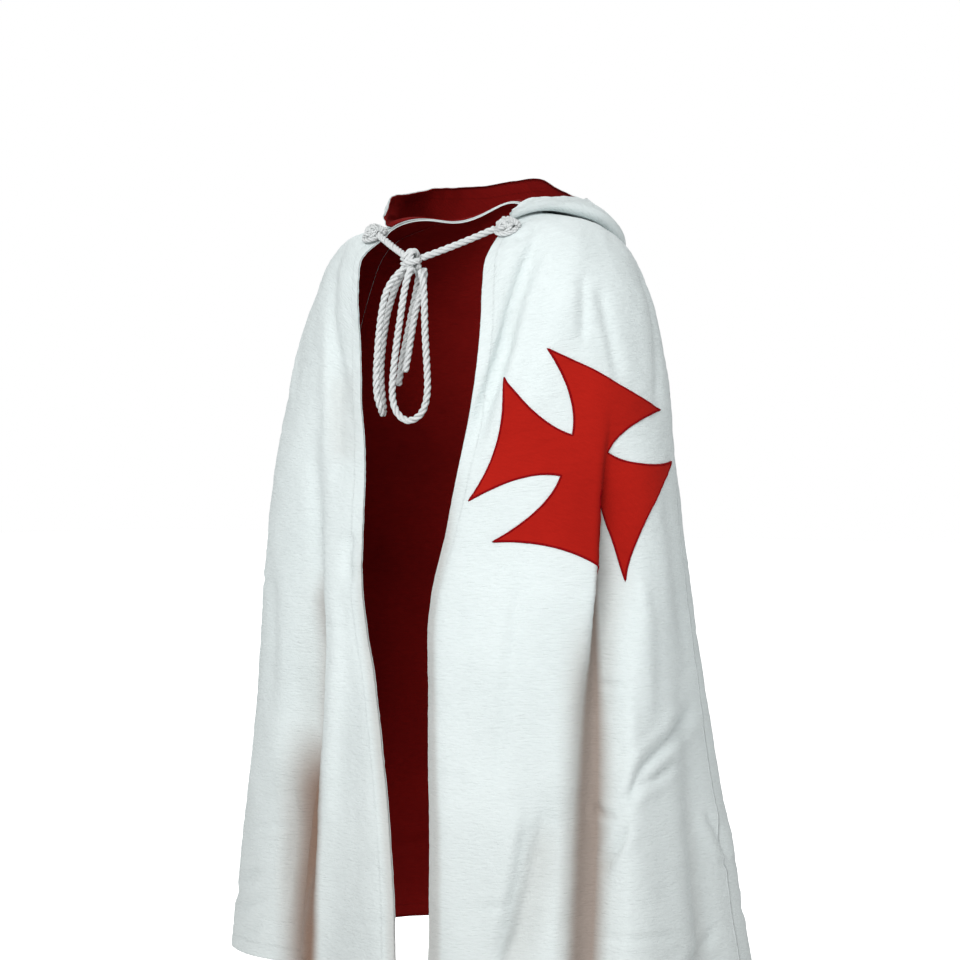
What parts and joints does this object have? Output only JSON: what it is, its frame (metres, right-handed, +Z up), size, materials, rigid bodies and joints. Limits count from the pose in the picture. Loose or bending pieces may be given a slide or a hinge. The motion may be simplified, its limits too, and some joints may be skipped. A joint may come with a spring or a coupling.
{
  "type": "hooded crusader cloak",
  "caption": "Long white hooded cloak in its worn, hollow form, open at the front and tied with rope at the neck, with a red cross applied over one side.",
  "frame": {"origin": "middle of the wearer's neck, at the height where the cloak lies on the shoulders", "axes": "+Z up, -Y the way the wearer faces, +X the wearer's left"},
  "size_m": [0.8297, 0.5875, 1.1389],
  "materials": {
    "cloak_cloth": "matte white crinkled cotton",
    "lining_cloth": "plain deep red cotton",
    "cross_cloth": "plain red cotton with a satin-stitched edge",
    "cotton_rope": "three-strand twisted white cotton"
  },
  "bodies": {
    "root": {"back_panel": "cloak_cloth", "front_left_panel": "cloak_cloth", "front_right_panel": "cloak_cloth", "cross_applique": "cross_cloth", "hood_shell": "cloak_cloth", "hood_lining": "lining_cloth", "rope_button_left": "cotton_rope", "rope_button_right": "cotton_rope", "tie_knot": "cotton_rope", "tie_left": "cotton_rope", "tie_right": "cotton_rope", "bow_loop_left": "cotton_rope", "bow_loop_right": "cotton_rope", "free_end_left": "cotton_rope", "free_end_right": "cotton_rope"}
  },
  "joints": []
}
